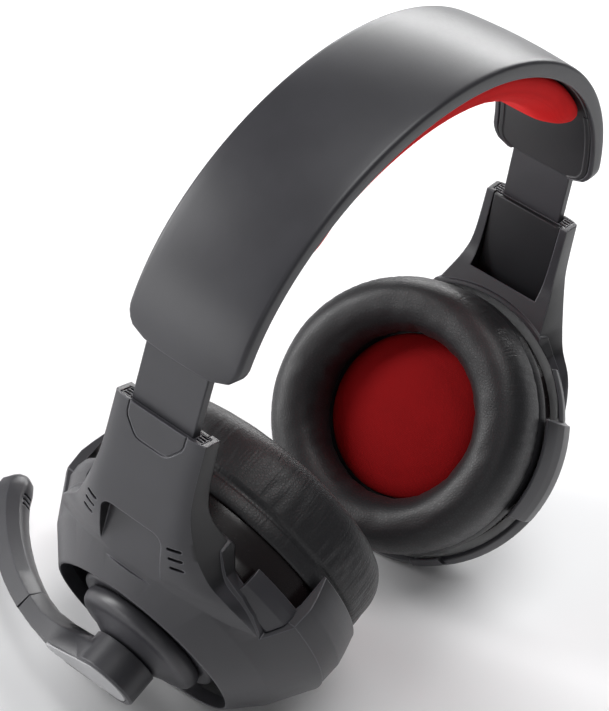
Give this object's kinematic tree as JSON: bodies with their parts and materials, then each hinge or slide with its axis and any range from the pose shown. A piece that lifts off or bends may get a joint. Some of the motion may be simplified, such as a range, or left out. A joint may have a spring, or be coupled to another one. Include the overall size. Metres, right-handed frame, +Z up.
{
  "type": "gaming headset",
  "caption": "Over-ear gaming headset with an adjustable padded headband, tilting round ear cups and a microphone boom that swings up beside one yoke.",
  "frame": {"origin": "midway between the centres of the two ear cups, where the wearer's head holds the headset", "axes": "+Z up to the top of the headband, -Y the way the wearer faces, +X the wearer's left, which is the microphone's side"},
  "size_m": [0.1958, 0.1349, 0.2001],
  "materials": {
    "shell_grey": "satin moulded ABS, fine grain",
    "dark_grey": "satin moulded ABS",
    "cup_gloss": "dark semi-gloss moulding",
    "bright_panel": "light grey satin paint",
    "leatherette": "soft black leatherette over foam",
    "red_cloth": "fine diagonal weave",
    "red_pad": "padded woven cloth",
    "steel": "plain steel",
    "black_rubber": "matt moulded"
  },
  "bodies": {
    "headband": {"headband_cover": "shell_grey", "headband_liner": "dark_grey", "spring_band": "steel", "headband_pad": "red_pad", "left_end_plate": "dark_grey", "left_slider_strip": "shell_grey", "left_strip_screw": "steel", "right_end_plate": "dark_grey", "right_slider_strip": "shell_grey", "right_strip_screw": "steel"},
    "left_yoke": {"left_yoke_shell": "shell_grey", "left_yoke_cover": "dark_grey", "left_slider_guide": "dark_grey", "left_pivot_pin_1": "steel", "left_pivot_pin_2": "steel"},
    "right_yoke": {"right_yoke_shell": "shell_grey", "right_yoke_cover": "dark_grey", "right_slider_guide": "dark_grey", "right_pivot_pin_1": "steel", "right_pivot_pin_2": "steel"},
    "left_cup": {"left_cup_housing": "cup_gloss", "left_disc": "shell_grey", "left_vent_ring": "dark_grey", "left_drum": "shell_grey", "left_baffle": "dark_grey", "left_driver_frame": "steel", "left_driver_magnet": "steel", "left_driver_diaphragm": "black_rubber", "left_ear_cloth": "red_cloth", "left_ear_cushion": "leatherette", "cable_inlet": "black_rubber", "boom_spindle": "steel", "boom_washer": "black_rubber"},
    "right_cup": {"right_cup_housing": "cup_gloss", "right_disc": "shell_grey", "right_vent_ring": "dark_grey", "right_drum": "shell_grey", "right_baffle": "dark_grey", "right_driver_frame": "steel", "right_driver_magnet": "steel", "right_driver_diaphragm": "black_rubber", "right_ear_cloth": "red_cloth", "right_ear_cushion": "leatherette"},
    "boom": {"boom_hub": "shell_grey", "boom_arm": "shell_grey", "boom_panel": "bright_panel", "mic_capsule": "steel"}
  },
  "joints": [
    {"name": "left_yoke_slide", "type": "slide", "parent": "headband", "child": "left_yoke", "axis": [0.1045, 0, -0.9945], "range_m": [-0.016, 0.009]},
    {"name": "left_cup_tilt", "type": "hinge", "parent": "left_yoke", "child": "left_cup", "pos_m": [0.0579, 0, 0], "axis": [0, 1, 0], "range_deg": [-5, 5]},
    {"name": "right_yoke_slide", "type": "slide", "parent": "headband", "child": "right_yoke", "axis": [-0.1045, 0, -0.9945], "range_m": [-0.016, 0.009]},
    {"name": "right_cup_tilt", "type": "hinge", "parent": "right_yoke", "child": "right_cup", "pos_m": [-0.0579, 0, 0], "axis": [0, 1, 0], "range_deg": [-5, 5]},
    {"name": "boom_swing", "type": "hinge", "parent": "left_cup", "child": "boom", "pos_m": [0.0579, 0, 0], "axis": [0.866, 0, -0.5], "range_deg": [-110, 20]}
  ]
}
